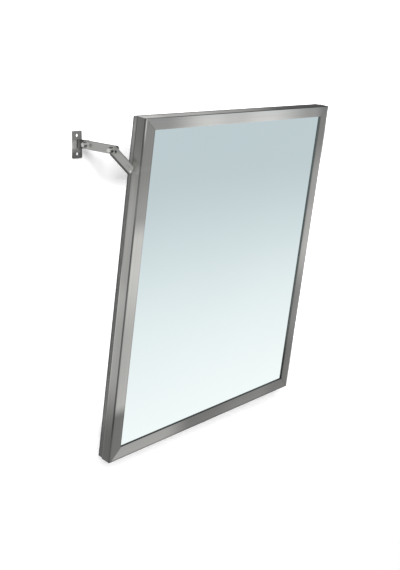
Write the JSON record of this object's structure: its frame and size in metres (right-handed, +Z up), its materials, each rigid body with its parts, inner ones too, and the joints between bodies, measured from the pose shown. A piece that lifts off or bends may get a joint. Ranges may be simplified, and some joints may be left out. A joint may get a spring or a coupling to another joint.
{
  "type": "tilting wall mirror",
  "caption": "Rectangular mirror in a mitred brushed-steel frame, hinged low on the wall and leaned forward on folding side arms.",
  "frame": {"origin": "middle of the four screw holes of the two lower wall brackets, on the wall plane", "axes": "+Z up, -Y out from the wall into the room, +X to the right of a person facing the mirror's wall from the room"},
  "size_m": [0.5372, 0.1649, 0.6025],
  "materials": {
    "frame_steel": "satin brushed along each member",
    "arm_steel": "satin, lightly brushed along the link",
    "plate_steel": "dark mill finish with a worn edge",
    "fastener_steel": "bright plated",
    "ring_steel": "dark spring steel",
    "galvanised_steel": "galvanised, faint spangle",
    "mirror_glass": "clear silvered float glass",
    "gasket_rubber": "matt black",
    "cushion_foam": "soft closed-cell foam",
    "backing_board": "pressed hardboard",
    "friction_nylon": "natural nylon"
  },
  "bodies": {
    "wall_parts": {"pin_rings": "ring_steel", "wall_bracket_left": "galvanised_steel", "hinge_pin_left": "fastener_steel", "wall_plate_left": "plate_steel", "wall_pivot_bolt_left": "fastener_steel", "wall_pivot_nut_left": "fastener_steel", "wall_washer_left": "fastener_steel", "wall_friction_disc_left": "friction_nylon", "wall_bracket_right": "galvanised_steel", "hinge_pin_right": "fastener_steel", "wall_plate_right": "plate_steel", "wall_pivot_bolt_right": "fastener_steel", "wall_pivot_nut_right": "fastener_steel", "wall_washer_right": "fastener_steel", "wall_friction_disc_right": "friction_nylon"},
    "mirror": {"frame_top": "frame_steel", "frame_bottom": "frame_steel", "frame_left": "frame_steel", "frame_right": "frame_steel", "glazing_gasket": "gasket_rubber", "mirror_glass": "mirror_glass", "cushion_sheet": "cushion_foam", "backing_board": "backing_board", "back_pan": "galvanised_steel", "crossbar_upper": "galvanised_steel", "crossbar_lower": "galvanised_steel", "leaf_screws": "fastener_steel", "leaf_nuts": "galvanised_steel", "pan_screws": "fastener_steel", "pan_nuts": "galvanised_steel", "pivot_doubler_left": "galvanised_steel", "hinge_leaf_left": "galvanised_steel", "pivot_doubler_right": "galvanised_steel", "hinge_leaf_right": "galvanised_steel"},
    "long_arm_left": {"long_link_left": "arm_steel"},
    "short_arm_left": {"short_link_left": "arm_steel", "elbow_stud_left": "fastener_steel", "elbow_nut_left": "fastener_steel", "elbow_washer_left": "fastener_steel", "elbow_friction_disc_left": "friction_nylon", "frame_pivot_pin_left": "fastener_steel"},
    "long_arm_right": {"long_link_right": "arm_steel"},
    "short_arm_right": {"short_link_right": "arm_steel", "elbow_stud_right": "fastener_steel", "elbow_nut_right": "fastener_steel", "elbow_washer_right": "fastener_steel", "elbow_friction_disc_right": "friction_nylon", "frame_pivot_pin_right": "fastener_steel"}
  },
  "joints": [
    {"name": "mirror_tilt", "type": "hinge", "parent": "wall_parts", "child": "mirror", "pos_m": [0, -0.031, 0], "axis": [1, 0, 0], "range_deg": [-5.4, 0.4]},
    {"name": "wall_pivot_left", "type": "hinge", "parent": "wall_parts", "child": "long_arm_left", "pos_m": [-0.2547, -0.028, 0.5235], "axis": [1, 0, 0], "range_deg": [-21.5, 2.5]},
    {"name": "elbow_left", "type": "hinge", "parent": "long_arm_left", "child": "short_arm_left", "pos_m": [-0.2579, -0.09535, 0.51903], "axis": [1, 0, 0], "range_deg": [-8, 89]},
    {"name": "wall_pivot_right", "type": "hinge", "parent": "wall_parts", "child": "long_arm_right", "pos_m": [0.2547, -0.028, 0.5235], "axis": [1, 0, 0], "range_deg": [-21.5, 2.5]},
    {"name": "elbow_right", "type": "hinge", "parent": "long_arm_right", "child": "short_arm_right", "pos_m": [0.2579, -0.09535, 0.51903], "axis": [1, 0, 0], "range_deg": [-8, 89]}
  ],
  "couplings": [
    {"joint": "wall_pivot_left", "follows": "mirror_tilt", "ratio": 3.9179},
    {"joint": "elbow_left", "follows": "mirror_tilt", "ratio": -16.295},
    {"joint": "wall_pivot_right", "follows": "mirror_tilt", "ratio": 3.9179},
    {"joint": "elbow_right", "follows": "mirror_tilt", "ratio": -16.295}
  ]
}
